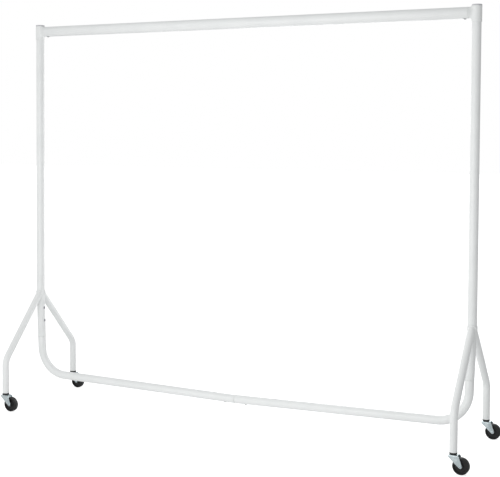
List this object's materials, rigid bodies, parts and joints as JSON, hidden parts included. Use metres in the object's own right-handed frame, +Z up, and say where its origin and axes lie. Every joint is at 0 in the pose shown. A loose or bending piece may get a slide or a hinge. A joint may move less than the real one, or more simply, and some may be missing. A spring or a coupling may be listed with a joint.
{
  "type": "rolling clothes rack",
  "caption": "Rolling garment rail: forked tubular end frames on swivel casters, joined by a straight hanging rail and a low U-shaped bottom rail.",
  "frame": {"origin": "on the floor, below the middle of the bounding box; the uprights' midpoint is 18 mm to -X of it because the casters trail to +X", "axes": "+X along the hanging rail, +Z up, -Y towards the front of the pictured side"},
  "size_m": [1.8718, 0.491, 1.54],
  "materials": {
    "white_powder_coat": "white powder coat, satin",
    "white_plastic": "moulded, satin",
    "zinc_plate": "bright zinc plate",
    "black_nylon": "moulded, satin"
  },
  "bodies": {
    "rack_frame": {"hanging_rail": "white_powder_coat", "upright_left": "white_powder_coat", "tee_sleeve_left": "white_powder_coat", "tee_cap_left": "white_plastic", "bottom_rail_left": "white_powder_coat", "arm_spigot_left": "zinc_plate", "rail_screw_left": "zinc_plate", "stub_screw_lower_left": "zinc_plate", "stub_screw_upper_left": "zinc_plate", "joiner_screw_left": "zinc_plate", "upright_right": "white_powder_coat", "tee_sleeve_right": "white_powder_coat", "tee_cap_right": "white_plastic", "bottom_rail_right": "white_powder_coat", "arm_spigot_right": "zinc_plate", "rail_screw_right": "zinc_plate", "stub_screw_lower_right": "zinc_plate", "stub_screw_upper_right": "zinc_plate", "joiner_screw_right": "zinc_plate", "bottom_rail_joiner": "zinc_plate", "leg_front_left": "white_powder_coat", "insert_front_left": "black_nylon", "stem_front_left": "zinc_plate", "leg_rear_left": "white_powder_coat", "insert_rear_left": "black_nylon", "stem_rear_left": "zinc_plate", "leg_front_right": "white_powder_coat", "insert_front_right": "black_nylon", "stem_front_right": "zinc_plate", "leg_rear_right": "white_powder_coat", "insert_rear_right": "black_nylon", "stem_rear_right": "zinc_plate"},
    "swivel_front_left": {"fork_front_left": "zinc_plate", "axle_front_left": "zinc_plate", "bush_front_left": "zinc_plate"},
    "wheel_front_left": {"wheel_front_left": "black_nylon"},
    "swivel_rear_left": {"fork_rear_left": "zinc_plate", "axle_rear_left": "zinc_plate", "bush_rear_left": "zinc_plate"},
    "wheel_rear_left": {"wheel_rear_left": "black_nylon"},
    "swivel_front_right": {"fork_front_right": "zinc_plate", "axle_front_right": "zinc_plate", "bush_front_right": "zinc_plate"},
    "wheel_front_right": {"wheel_front_right": "black_nylon"},
    "swivel_rear_right": {"fork_rear_right": "zinc_plate", "axle_rear_right": "zinc_plate", "bush_rear_right": "zinc_plate"},
    "wheel_rear_right": {"wheel_rear_right": "black_nylon"}
  },
  "joints": [
    {"name": "swivel_front_left", "type": "hinge", "parent": "rack_frame", "child": "swivel_front_left", "pos_m": [-0.9181, -0.23, 0.0704], "axis": [0, 0, 1], "continuous": true},
    {"name": "wheel_spin_front_left", "type": "hinge", "parent": "swivel_front_left", "child": "wheel_front_left", "pos_m": [-0.8921, -0.23, 0.028], "axis": [0, 1, 0], "continuous": true},
    {"name": "swivel_rear_left", "type": "hinge", "parent": "rack_frame", "child": "swivel_rear_left", "pos_m": [-0.9181, 0.23, 0.0704], "axis": [0, 0, 1], "continuous": true},
    {"name": "wheel_spin_rear_left", "type": "hinge", "parent": "swivel_rear_left", "child": "wheel_rear_left", "pos_m": [-0.8921, 0.23, 0.028], "axis": [0, 1, 0], "continuous": true},
    {"name": "swivel_front_right", "type": "hinge", "parent": "rack_frame", "child": "swivel_front_right", "pos_m": [0.8819, -0.23, 0.0704], "axis": [0, 0, 1], "continuous": true},
    {"name": "wheel_spin_front_right", "type": "hinge", "parent": "swivel_front_right", "child": "wheel_front_right", "pos_m": [0.9079, -0.23, 0.028], "axis": [0, 1, 0], "continuous": true},
    {"name": "swivel_rear_right", "type": "hinge", "parent": "rack_frame", "child": "swivel_rear_right", "pos_m": [0.8819, 0.23, 0.0704], "axis": [0, 0, 1], "continuous": true},
    {"name": "wheel_spin_rear_right", "type": "hinge", "parent": "swivel_rear_right", "child": "wheel_rear_right", "pos_m": [0.9079, 0.23, 0.028], "axis": [0, 1, 0], "continuous": true}
  ]
}
